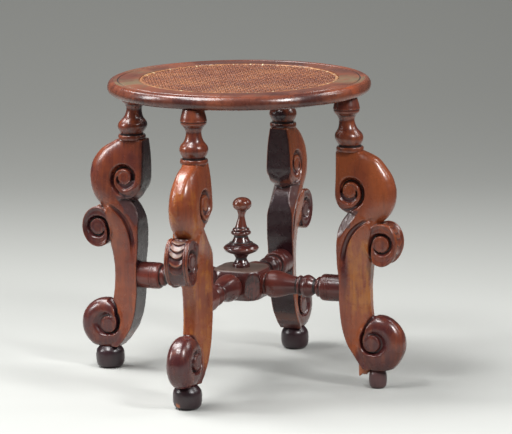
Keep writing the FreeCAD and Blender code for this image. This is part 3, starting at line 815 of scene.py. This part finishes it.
def wood(name, light, middle, dark, grain=GRAIN_UP, gloss=0.17, tones=TURNED_TONES, specular=0.6):
    """Old varnished walnut: patches of tone, drawn-out grain, painted shade in hollows and wear on edges."""
    s = Shading(name)
    streaks = s.noise(260, 4, grain, distortion=0.4)
    colour = s.mix(s.ramp(s.noise(16, 2, (1, 1, 0.5)), 0.34, 0.66), middle, light)
    colour = s.mix(s.times(s.ramp(streaks, 0.45, 0.75), 0.3), colour, dark)
    colour = s.mix(s.times(s.ramp(s.noise(900, 3, grain), 0.5, 0.8), 0.3), colour, dark)
    blotches = s.noise(55, 5, roughness=0.65)
    long_marks = s.noise(190, 4, grain)
    spread = s.math("SUBTRACT", s.plus(blotches, long_marks), 1)
    for tone, tone_colour, *reach in tones:
        colour = s.mix(tone_share(s, spread, tone, *reach), colour, tone_colour)
    hollow = s.kept("hollow")
    rubbed = s.times(s.ramp(s.noise(60), 0.3, 0.7), 0.45)
    colour = s.mix(s.times(s.ramp(hollow, -0.12, -0.42), rubbed), colour, light)
    # Hollows darken towards near-black by how enclosed they are: painted shade
    hollow_shade = s.times(s.ramp(hollow, 0.1, 0.5), 0.94)
    colour = s.mix(hollow_shade, colour, HOLLOW_SHADE_COLOUR)
    rough = s.plus(s.times(s.noise(45, 4), 0.16), gloss)
    rough = s.plus(rough, s.times(hollow_shade, 0.25))
    rough = s.plus(rough, s.times(s.kept("pale"), 0.22))
    s.finish(Base_Color=colour, Roughness=rough, Specular_IOR_Level=specular, Coat_Weight=0.08, Coat_Roughness=0.1)
    s.bump(s.plus(s.times(streaks, 0.35), s.noise(85, 2)), strength=0.35, distance=0.001)
    return s.material


def cane(name, light, dark, bright, flecks=0):
    """Stained cane: each strand its own tone, some of them flecked bare, with fine marks and dirt."""
    s = Shading(name)
    tone = s.kept("hollow")
    colour = s.mix(tone, light, dark)
    colour = s.mix(s.times(s.ramp(s.noise(22, 4), 0.45, 0.7), 0.4), colour, bright)
    colour = s.mix(s.times(s.ramp(tone, 0.78, 0.95), flecks), colour, (226, 204, 160))
    specks = s.noise(700)
    colour = s.mix(s.times(s.ramp(specks, 0.5, 0.75), 0.5), colour, (84, 42, 28))
    s.finish(Base_Color=colour, Roughness=0.45)
    s.bump(specks, strength=0.4, distance=0.0005)
    return s.material


# The camera, the lamps and the floor

# The photograph's camera, in pixels, millimetres and radians
FOCAL_PIXELS, PICTURE_WIDTH = 3818, 512
CAMERA_DISTANCE, AIM_ASIDE, AIM_HEIGHT = 5533, 22.13, 236.9
CAMERA_ELEVATION, CAMERA_ROLL = 0.1839, -0.01154
SENSOR_WIDTH = 36

# The lamps: azimuth from the camera's side, elevation, distance, width, height and power. All aim at
# one height on the stool's axis.
LAMPS = {
    "left_softbox": (-84, 24, 2.6, 0.4, 1, 28),
    "key_softbox": (-42, 56, 2.6, 0.9, 0.5, 38),
    "right_softbox": (44, 38, 2.8, 0.4, 0.7, 47),
    "side_softbox": (92, 36, 2.6, 0.28, 0.9, 12),
    "right_top_softbox": (114, 48, 2.6, 0.5, 0.4, 10),
    "left_back_softbox": (-122, 42, 2.6, 0.6, 0.6, 14),
    "top_softbox": (-100, 67, 2.6, 1.1, 1.25, 80),
}
LAMP_AIM = 0.22

# The floor in metres, and its colours: under the stool, up the backdrop and out of the picture; the last two are
# painted falloff of the light
FLOOR_FRONT, SWEEP_START, SWEEP_RADIUS, BACKDROP_TOP, FLOOR_HALF = -2, 1.6, 2.2, 9, 2.4
FLOOR_COLOUR = (0.43, 0.436, 0.418, 1)
BACKDROP_COLOUR = (0.228, 0.231, 0.218, 1)
FALLOFF_SHADE_COLOUR = (0.085, 0.087, 0.083, 1)
WORLD_COLOUR, WORLD_STRENGTH = (0.8, 0.82, 0.84, 1), 0.12


def add_camera():
    back = Vector((0, -math.cos(CAMERA_ELEVATION), math.sin(CAMERA_ELEVATION))) * CAMERA_DISTANCE
    data = bpy.data.cameras.new("camera")
    data.sensor_width = SENSOR_WIDTH
    data.sensor_fit = "HORIZONTAL"
    data.lens = FOCAL_PIXELS / PICTURE_WIDTH * SENSOR_WIDTH
    data.clip_start = 0.5
    data.clip_end = 60
    camera = link_object("camera", data)
    camera.matrix_world = (
        Matrix.Rotation(CAMERA_TURN, 4, "Z") @ Matrix.Translation((Vector((AIM_ASIDE, 0, AIM_HEIGHT)) + back) * MM)
        @ Matrix.Rotation(math.pi / 2 - CAMERA_ELEVATION, 4, "X") @ Matrix.Rotation(CAMERA_ROLL, 4, "Z")
    )
    bpy.context.scene.camera = camera


def add_softbox(name, azimuth, elevation, distance, width, height, power):
    data = bpy.data.lights.new(name, "AREA")
    data.shape = "RECTANGLE"
    data.size = width
    data.size_y = height
    data.energy = power
    angle = CAMERA_TURN + math.radians(azimuth)
    lift = math.radians(elevation)
    side = Vector((math.sin(angle) * math.cos(lift), -math.cos(angle) * math.cos(lift), math.sin(lift)))
    lamp = link_object(name, data)
    lamp.location = Vector((0, 0, LAMP_AIM)) + side * distance
    lamp.rotation_mode = "QUATERNION"
    lamp.rotation_quaternion = side.to_track_quat("Z", "Y")


def add_stage():
    """A pale floor that sweeps up into a grey backdrop, and darkens out of the picture: painted falloff of the light.
    """
    flat = np.linspace(FLOOR_FRONT, SWEEP_START, 40)
    sweep = np.linspace(0.05, math.pi / 2, 24)
    depth = np.concatenate([flat, SWEEP_START + SWEEP_RADIUS * np.sin(sweep), [SWEEP_START + SWEEP_RADIUS]])
    height = np.concatenate([0 * flat, SWEEP_RADIUS * (1 - np.cos(sweep)), [BACKDROP_TOP]])
    across = np.linspace(-FLOOR_HALF, FLOOR_HALF, 13)
    points = [(x, y, h) for y, h in zip(depth, height) for x in across]
    floor = new_object("floor", np.array(points) / MM, grid_faces(len(depth), len(across)))
    floor.matrix_world = Matrix.Rotation(CAMERA_TURN, 4, "Z")
    s = Shading("studio_floor")
    x, y, z = s.split(s.place)
    run = s.plus(y, s.times(z, 1.5))
    # Darker with depth and height up the backdrop: painted shade
    colour = s.mix(s.ramp(run, -0.6, 2.4), FLOOR_COLOUR, BACKDROP_COLOUR)
    # Dark out of the picture, leaving a pale pool of painted light under the stool
    squares = [s.math("POWER", s.math("ABSOLUTE", side), 2) for side in (x, s.math("MINIMUM", y, 0))]
    colour = s.mix(s.ramp(s.math("SQRT", s.plus(*squares)), 0.58, 1.25), colour, FALLOFF_SHADE_COLOUR)
    s.finish(Base_Color=colour, Roughness=0.9, Specular_IOR_Level=0.1)
    floor.data.materials.append(s.material)


def add_world():
    world = bpy.data.worlds.new("studio")
    world.use_nodes = True
    for socket, value in zip(world.node_tree.nodes["Background"].inputs, (WORLD_COLOUR, WORLD_STRENGTH)):
        socket.default_value = value
    bpy.context.scene.world = world


# The pieces

def dress(piece, material, node_name, quarter_turns=0):
    """Turns a piece to its side, gives it its finish and its body, and hides the frame's node that it stands for."""
    piece.matrix_world = Matrix.Rotation(math.radians(90 * quarter_turns), 4, "Z")
    piece.data.materials.append(material)
    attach(piece, "root")
    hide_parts(node_name)


NECK_RADIUS = 20.3
# How much of the painted highlight on the husks and of the painted grey sheen each carving keeps
DEEP_CUT_SHARES, FAINT_CUT_SHARES = (0.3, 1), (0.7, 0.1)


def make_legs():
    """The legs, from two carvings: the front one's tail groove was never cut."""
    material = wood("leg_walnut", (140, 71, 38), (114, 53, 34), (50, 22, 18), gloss=0.19, tones=LEG_TONES)
    neck, neck_faces, neck_hollow = lathe_mesh(
        stepped_profile(NECK_STEPS, SHOULDER - 0.4, SEAT_BOTTOM, NECK_RADIUS), wobble=0.12
    )
    # The necks are stained dark all over, and darker in their coves: painted shade
    neck_tones = {"stain": 0.48 + 0.5 * np.clip(neck_hollow, 0, 1)}
    deep_cut, faint_cut = carved_leg(1), carved_leg(0)
    for index, side in enumerate(SIDES):
        points, faces, hollow, kept = faint_cut if side == "front" else deep_cut
        highlight_share, sheen_share = FAINT_CUT_SHARES if side == "front" else DEEP_CUT_SHARES
        stain, worn = leg_wear(points, kept["stain"], side)
        tones = {"stain": stain, "worn": worn, "pale": highlight_share * kept["pale"], "grey": sheen_share * kept["grey"]}
        blank = np.zeros(len(neck))
        tones = {name: np.concatenate([values, neck_tones.get(name, blank)]) for name, values in tones.items()}
        shape = np.vstack([pulled(points, LEG_PULLS[side]), placed_neck(neck, side)])
        all_faces = faces + shifted(neck_faces, len(points))
        piece = new_object("carved_leg_" + side, shape, all_faces, np.concatenate([hollow, neck_hollow]), 60, tones)
        dress(piece, material, "leg_" + side, index)


# Each foot's widest radius, its top and how far it stands off its place
FEET = {
    "right": (12.8, 27.5, (1, 0, 0)),
    "back": (21, FOOT_TOP, (0, 0, 0)),
    "left": (21, FOOT_TOP, (1.5, 0, 0)),
    "front": (21, FOOT_TOP, (0, 1.5, 0)),
}
# The bare chip on the front foot: its place from the foot's axis, and its reach
FOOT_CHIP, FOOT_CHIP_REACH = (19, -8, 6), 4.2

# What is left of the right leg's broken foot: its grid, middle, radii, mean bottom and top
STUB_CELL, STUB_ORIGIN, STUB_COUNTS = 0.9, (178, -14, 8), (28, 31, 32)
STUB_R, STUB_RADII, STUB_BOTTOM, STUB_TOP = 191, (9, 10), 20, 34


def broken_stub():
    """A torn chunk of raw wood under the right leg's heel."""
    axes = [low + STUB_CELL * np.arange(count) for low, count in zip(STUB_ORIGIN, STUB_COUNTS)]
    r, y, z = np.meshgrid(*axes, indexing="ij")
    torn = 1.5 * np.sin(r * 0.45 + y * 0.4) + 1.2 * np.sin(y * 0.7 - r * 0.3 + 2) + 0.5 * np.sin(r * 1.3 + y * 1.1)
    bottom = STUB_BOTTOM + 0.35 * (r - 190) + torn - z
    side = (np.hypot((r - STUB_R) / STUB_RADII[0], y / STUB_RADII[1]) - 1) * STUB_RADII[0]
    return carve(np.maximum(np.maximum(side, bottom), z - STUB_TOP), STUB_ORIGIN, STUB_CELL, 2)


def make_feet():
    material = wood("foot_walnut", (48, 25, 30), (30, 15, 21), (13, 7, 10), gloss=0.24)
    scuffed = wood("foot_walnut_scuffed", (86, 54, 54), (62, 39, 41), (26, 15, 18), gloss=0.28)
    for index, side in enumerate(SIDES):
        radius, top, aside = FEET[side]
        points, faces, hollow = lathe_mesh(stepped_profile(FOOT_STEPS, 0, top, radius), segments=72, wobble=0.2)
        worn = np.zeros(len(points))
        if side == "front":
            worn = 0.9 * np.exp(-((points - FOOT_CHIP) ** 2).sum(axis=1) / FOOT_CHIP_REACH**2)
        points = points + np.array([FOOT_REACH, 0, 0]) + np.array(aside)
        if side == "right":
            stub, stub_faces, stub_hollow = broken_stub()
            faces = faces + shifted(stub_faces, len(points))
            points = np.vstack([points, stub])
            hollow = np.concatenate([hollow, 0.6 * stub_hollow])
            worn = np.concatenate([worn, np.ones(len(stub))])
        piece = new_object("turned_foot_" + side, points, faces, hollow, TURNED_SHARP, {"worn": worn})
        dress(piece, scuffed if side == "right" else material, "foot_" + side, index)


ARM_RADIUS = 19.4
# How far each end of an arm starts inside its neighbour
ARM_OVERRUN = 0.5


def make_stretchers():
    profile = stepped_profile(ARM_STEPS, HUB_HALF - ARM_OVERRUN, STEM_INNER + ARM_OVERRUN, ARM_RADIUS)
    points, faces, hollow = lathe_mesh(profile)
    points = np.stack([points[:, 2], points[:, 1], STRETCHER_Z - points[:, 0]], axis=1)
    material = wood("stretcher_walnut", (104, 46, 36), (72, 30, 28), (26, 11, 13), GRAIN_LENGTHWISE, 0.21)
    for index, side in enumerate(SIDES):
        piece = new_object("turned_stretcher_" + side, points, faces, hollow, TURNED_SHARP)
        dress(piece, material, "stretcher_" + side, index)


# The hub: its grid's cell and margin, its facets' distance, and where its barrels start to round over,
# with their radius in the middle and at the end
HUB_CELL, HUB_MARGIN, HUB_FACET = 0.8, 3, 42.4
HUB_BARREL, HUB_BARREL_RADIUS, HUB_END_RADIUS = 15, 40.5, 20


def hub_corner(x, y):
    """How far a place lies outside the hub's four facets."""
    return (np.abs(x) + np.abs(y)) / math.sqrt(2) - HUB_FACET


def hub_barrel(along, across):
    """A full barrel round one pair of stretchers, which rounds over to their ends."""
    share = np.clip((np.abs(along) - HUB_BARREL) / (HUB_HALF - HUB_BARREL), 0, 1)
    radius = HUB_END_RADIUS + (HUB_BARREL_RADIUS - HUB_END_RADIUS) * np.sqrt(1 - share**2)
    return np.maximum((across - radius) * 0.8, np.abs(along) - HUB_HALF)


def make_hub():
    """The faceted hub, whose barrels meet the facets in curved edges."""
    half_height = HUB_TOP - STRETCHER_Z
    low = np.array([-HUB_HALF, -HUB_HALF, -half_height]) - HUB_MARGIN
    axes = [start + HUB_CELL * np.arange(int(-2 * start / HUB_CELL) + 1) for start in low]
    x, y, z = np.meshgrid(*axes, indexing="ij")
    solid = smooth_max(hub_barrel(x, np.hypot(y, z)), hub_barrel(y, np.hypot(x, z)), 1)
    solid = smooth_max(solid, hub_corner(x, y), 1)
    solid = smooth_max(solid, np.abs(z) - half_height, 1.6)
    points, faces, hollow = carve(solid, low, HUB_CELL, 2.4)
    top = ease(half_height - 3, half_height - 1, points[:, 2])
    facet = ease(-1.6, -0.6, hub_corner(points[:, 0], points[:, 1]))
    points = points + np.array([0, 0, STRETCHER_Z])
    material = wood("hub_walnut", (98, 44, 36), (66, 28, 27), (22, 10, 12), GRAIN_UP, 0.15, HUB_TONES, 0.8)
    tones = {"pale": top, "stain": 0.7 * facet * (1 - top)}
    piece = new_object("faceted_hub", points, faces, hollow, TURNED_SHARP, tones)
    dress(piece, material, "stretcher_hub")


FINIAL_RADIUS = 25.6
BALL_RADIUS, BALL_HEIGHT = 13.6, 19.6
FINIAL_LEAN = 2.3


def make_finial():
    """The finial, which leans a little to the right of the picture."""
    ball_base = FINIAL_TOP - BALL_HEIGHT
    points, faces, hollow = lathe_mesh(np.vstack([
        stepped_profile(FINIAL_STEPS, HUB_TOP - 0.3, ball_base, FINIAL_RADIUS),
        stepped_profile(BALL_STEPS, ball_base, FINIAL_TOP, BALL_RADIUS),
    ]))
    height = (points[:, 2] - HUB_TOP) / (FINIAL_TOP - HUB_TOP)
    to_right = np.array([math.cos(CAMERA_TURN), math.sin(CAMERA_TURN), 0])
    lean = FINIAL_LEAN * ease(0.45, 1, height)[:, None] * to_right
    tones = {"stain": 0.6 * ease(0.64, 0.52, height), "worn": 0.3 * ease(0.6, 0.8, height)}
    material = wood("finial_walnut", (122, 62, 44), (88, 40, 33), (36, 16, 18), gloss=0.13, specular=0.9)
    piece = new_object("turned_finial", points + lean, faces, hollow, TURNED_SHARP, tones)
    dress(piece, material, "finial")


# The ring's section from its inner edge out to its nose, as (radius, height)
SEAT_PROFILE = (
    (131, 421), (180, 421), (184.5, 422.3), (188.2, 425.2), (190, 430.5), (189, 435.6), (186.6, 439.2),
    (183.6, 440.7), (182.4, 440.9),
)
# The lines scribed in its top, as (radius, half width, depth, lip), and the ledge under the cane
SEAT_LINES = ((174.5, 1.3, 0.9, 0.1), (180.2, 0.6, 0.4, 0), (170.8, 0.5, 0.3, 0))
CANE_LEDGE = 3
SEGMENTS = 4
# Half the gap between two segments, and the radii between which the nose's tones start
JOINT_HALF = math.radians(0.06)
NOSE_START, NOSE_FULL = 180.5, 183.5


def seat_top_line():
    """The ring's top from its edge inwards, with its scribed lines."""
    radius = np.linspace(SEAT_PROFILE[-1][0], CANE_RADIUS + 0.2, 78)
    height = SEAT_TOP - 0.1 - sum(channel(np.abs(radius - at), *size) for at, *size in SEAT_LINES)
    return np.stack([radius, height], axis=1)


def seat_tones(points):
    """Dark joint patches and a worn end on the nose, and olive patches on top."""
    facing = np.arctan2(points[:, 1], points[:, 0]) + math.pi / 2 - CAMERA_TURN
    facing = np.degrees(np.arctan2(np.sin(facing), np.cos(facing)))
    nose = ease(NOSE_START, NOSE_FULL, np.hypot(points[:, 0], points[:, 1]))

    def patches(*places):
        """Patches at angles from the camera's side, as (strength, angle, width)."""
        return sum(strength * hump(facing, centre, width) for strength, centre, width in places)

    stain = nose * (0.38 + patches((0.6, -23, 5), (0.7, 32, 7), (0.4, -48, 6), (-0.5, 66, 14)))
    stain += (1 - nose) * (0.25 + patches((0.3, 20, 16), (0.25, 150, 20)))
    worn = nose * patches((0.6, 60, 12))
    pale = (1 - nose) * patches((0.8, -76, 20), (0.8, 80, 18), (0.6, -122, 18), (0.4, 10, 14))
    return {"stain": stain, "worn": worn, "pale": pale}


def make_seat():
    """The segments of the ring."""
    start, base = SEAT_PROFILE[:2]
    ledge = SEAT_TOP - CANE_LEDGE
    profile = np.vstack([
        np.linspace(start, base, 12), smooth_line(SEAT_PROFILE[1:], steps=6)[1:], seat_top_line(),
        [(CANE_RADIUS, SEAT_TOP - 0.6), (CANE_RADIUS, ledge), (start[0], ledge), start],
    ])
    count, steps = len(profile), 56
    hollow = np.repeat(profile_hollow(profile), steps)
    quarter = 2 * math.pi / SEGMENTS
    material = wood("seat_walnut", (122, 66, 46), (86, 44, 35), (40, 20, 20), GRAIN_RING, 0.19, SEAT_TONES)
    for index in range(SEGMENTS):
        first = quarter * (index - 0.5) + JOINT_HALF
        angle = np.linspace(first, first + quarter - 2 * JOINT_HALF, steps)
        radius = profile[:, :1] + 0.15 * np.sin(angle * 9 + profile[:, 1:] * 0.4)
        points = np.stack([radius * np.cos(angle), radius * np.sin(angle), profile[:, 1:] + 0 * angle], axis=2)
        points = points.reshape(-1, 3)
        first_end = [i * steps for i in range(count - 1)]
        last_end = [i * steps + steps - 1 for i in range(count - 1)][::-1]
        faces = grid_faces(count, steps) + [first_end, last_end]
        piece = new_object(f"seat_ring_{index + 1}", points, faces, hollow, 40, seat_tones(points))
        dress(piece, material, f"seat_segment_{index + 1}")


# The weave's pitch and mean height, how far it stays off the opening's edge and how far inside that
# its last strands lie, half the gap in a pair, and a strand's width and thickness
CANE_PITCH, CANE_Z = 9.6, SEAT_TOP - 2.2
CANE_EDGE, CANE_CORNER, PAIR_HALF_GAP = 3, 2, 1.25
STRAND_WIDTH, STRAND_THICKNESS = 1.8, 0.9
# How far the strands rise and fall, and how much higher the diagonals lie
PAIR_SWAY, DIAGONAL_SWAY, DIAGONAL_LIFT = 0.45, 0.75, 0.35
# A strand's section, as shares of its width and thickness
STRAND_SECTION = ((-0.5, -0.1), (-0.28, 0.45), (0.28, 0.45), (0.5, -0.1))


def strand(path, heights, width):
    """A flat strand along a path in the seat's plane, with a softly arched top."""
    tangent = np.gradient(path, axis=0)
    tangent /= np.linalg.norm(tangent, axis=1, keepdims=True)
    normal = np.stack([-tangent[:, 1], tangent[:, 0]], axis=1)
    rows = [
        np.column_stack([path + normal * width * across, heights + STRAND_THICKNESS * up])
        for across, up in STRAND_SECTION
    ]
    count = len(STRAND_SECTION)
    last = (len(path) - 1) * count
    faces = [face[::-1] for face in grid_faces(len(path), count, ring=True)]
    faces += [tuple(range(count)), tuple(range(last, last + count))[::-1]]
    return np.stack(rows, axis=1).reshape(-1, 3), faces


def make_cane():
    """Six-way woven cane: upright and level pairs, and one diagonal each way."""
    limit = CANE_RADIUS - CANE_EDGE
    wave = 2 * math.pi / CANE_PITCH
    rows = int(limit / CANE_PITCH) + 1
    all_points, all_faces, tones = [], [], []

    def lay(reach, place, waver):
        """Adds a strand at a reach from the middle, with its own waver, width and tone."""
        if abs(reach) > limit - CANE_CORNER:
            return
        half = math.sqrt(limit**2 - reach**2)
        x, y, lift = place(np.arange(-half, half, CANE_PITCH / 6))
        path = np.stack([x, y], axis=1)
        path = path + rng.normal(0, waver, path.shape)
        points, faces = strand(path, CANE_Z + lift, STRAND_WIDTH + rng.normal(0, 0.1))
        all_faces.extend(shifted(faces, len(tones)))
        all_points.append(points)
        tones.extend([rng.uniform()] * len(points))

    for row in range(-rows, rows + 1):
        for side in (-1, 1):
            reach = row * CANE_PITCH + side * PAIR_HALF_GAP
            sway = side * PAIR_SWAY
            lay(reach, lambda t: (reach + 0 * t, t, -sway * np.sin(wave * t)), 0.12)
            lay(reach, lambda t: (t, reach + 0 * t, sway * np.sin(wave * t)), 0.12)
    for row in range(-2 * rows - 1, 2 * rows + 1):
        reach = (row + 0.5) * CANE_PITCH / math.sqrt(2)
        for way in (-1, 1):
            def diagonal(t):
                x, y = (t + reach) * math.sqrt(0.5), (t - reach) * math.sqrt(0.5) * way
                return x, y, DIAGONAL_LIFT + way * DIAGONAL_SWAY * np.cos(wave * x)
            lay(reach, diagonal, 0.1)
    piece = new_object("woven_cane", np.vstack(all_points), all_faces, np.array(tones))
    dress(piece, cane("cane", (142, 88, 60), (100, 56, 43), (166, 112, 73)), "cane_panel")


# The binder's section and its ties' arch as (across, up), and the ties' rows as (aside, drop)
BINDER_SECTION = ((-2.6, -0.9), (-2.2, -0.2), (-1.2, 0.35), (0, 0.5), (1.2, 0.35), (2.2, -0.2), (2.6, -0.9))
BINDER_WIDTH_SHARE = 0.95
TIE_ARCH = ((-3.1, -1.2), (-2.4, 0), (-1.2, 0.5), (0, 0.62), (1.2, 0.5), (2.4, 0), (3.1, -1.2))
TIE_ROWS = ((-1.1, 0.25), (-0.5, 0), (0.5, 0), (1.1, 0.25))
BINDER_STEPS, TIES = 240, 70
BINDER_Z = SEAT_TOP - 0.65


def make_binder():
    """The binder cane round the panel, with ties over it."""
    middle = CANE_RADIUS - CANE_EDGE
    points = []

    def place(theta, across, aside, up):
        """Adds a point at an angle round the strip."""
        c, s = math.cos(theta), math.sin(theta)
        points.append((c * (middle + across) - s * aside, s * (middle + across) + c * aside, BINDER_Z + up))

    for theta in np.linspace(0, 2 * math.pi, BINDER_STEPS, endpoint=False):
        for across, up in BINDER_SECTION:
            place(theta, across * BINDER_WIDTH_SHARE, 0, up + 0.08 * math.sin(theta * 36))
    faces = turned_over(grid_faces(BINDER_STEPS, len(BINDER_SECTION), ring=True, loop=True))
    tie_faces = turned_over(grid_faces(len(TIE_ARCH), len(TIE_ROWS)))
    for theta in np.arange(TIES) * 2 * math.pi / TIES:
        faces += shifted(tie_faces, len(points))
        for across, up in TIE_ARCH:
            for aside, drop in TIE_ROWS:
                place(theta, across, aside, up - drop)
    strip_tones = np.repeat(rng.uniform(size=BINDER_STEPS), len(BINDER_SECTION))
    tie_tones = np.repeat(rng.uniform(-0.4, 1, size=TIES), len(TIE_ARCH) * len(TIE_ROWS))
    piece = new_object("cane_binder_strip", np.array(points), faces, np.concatenate([strip_tones, tie_tones]))
    material = cane("binder_cane", (150, 102, 66), (100, 60, 44), (186, 142, 92), flecks=0.7)
    dress(piece, material, "cane_binder")


def dress_dowels():
    """The dowels stay the frame's own solids, with a finish."""
    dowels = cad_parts["seat_dowels"]
    material = wood("dowel_wood", (170, 120, 76), (150, 100, 62), (96, 60, 38))
    dowels.data.materials.clear()
    dowels.data.materials.append(material)


bpy.context.scene.view_settings.view_transform = "Standard"
add_camera()
add_world()
add_stage()
for lamp_name, lamp in LAMPS.items():
    add_softbox(lamp_name, *lamp)
make_legs()
make_feet()
make_stretchers()
make_hub()
make_finial()
make_seat()
make_cane()
make_binder()
dress_dowels()
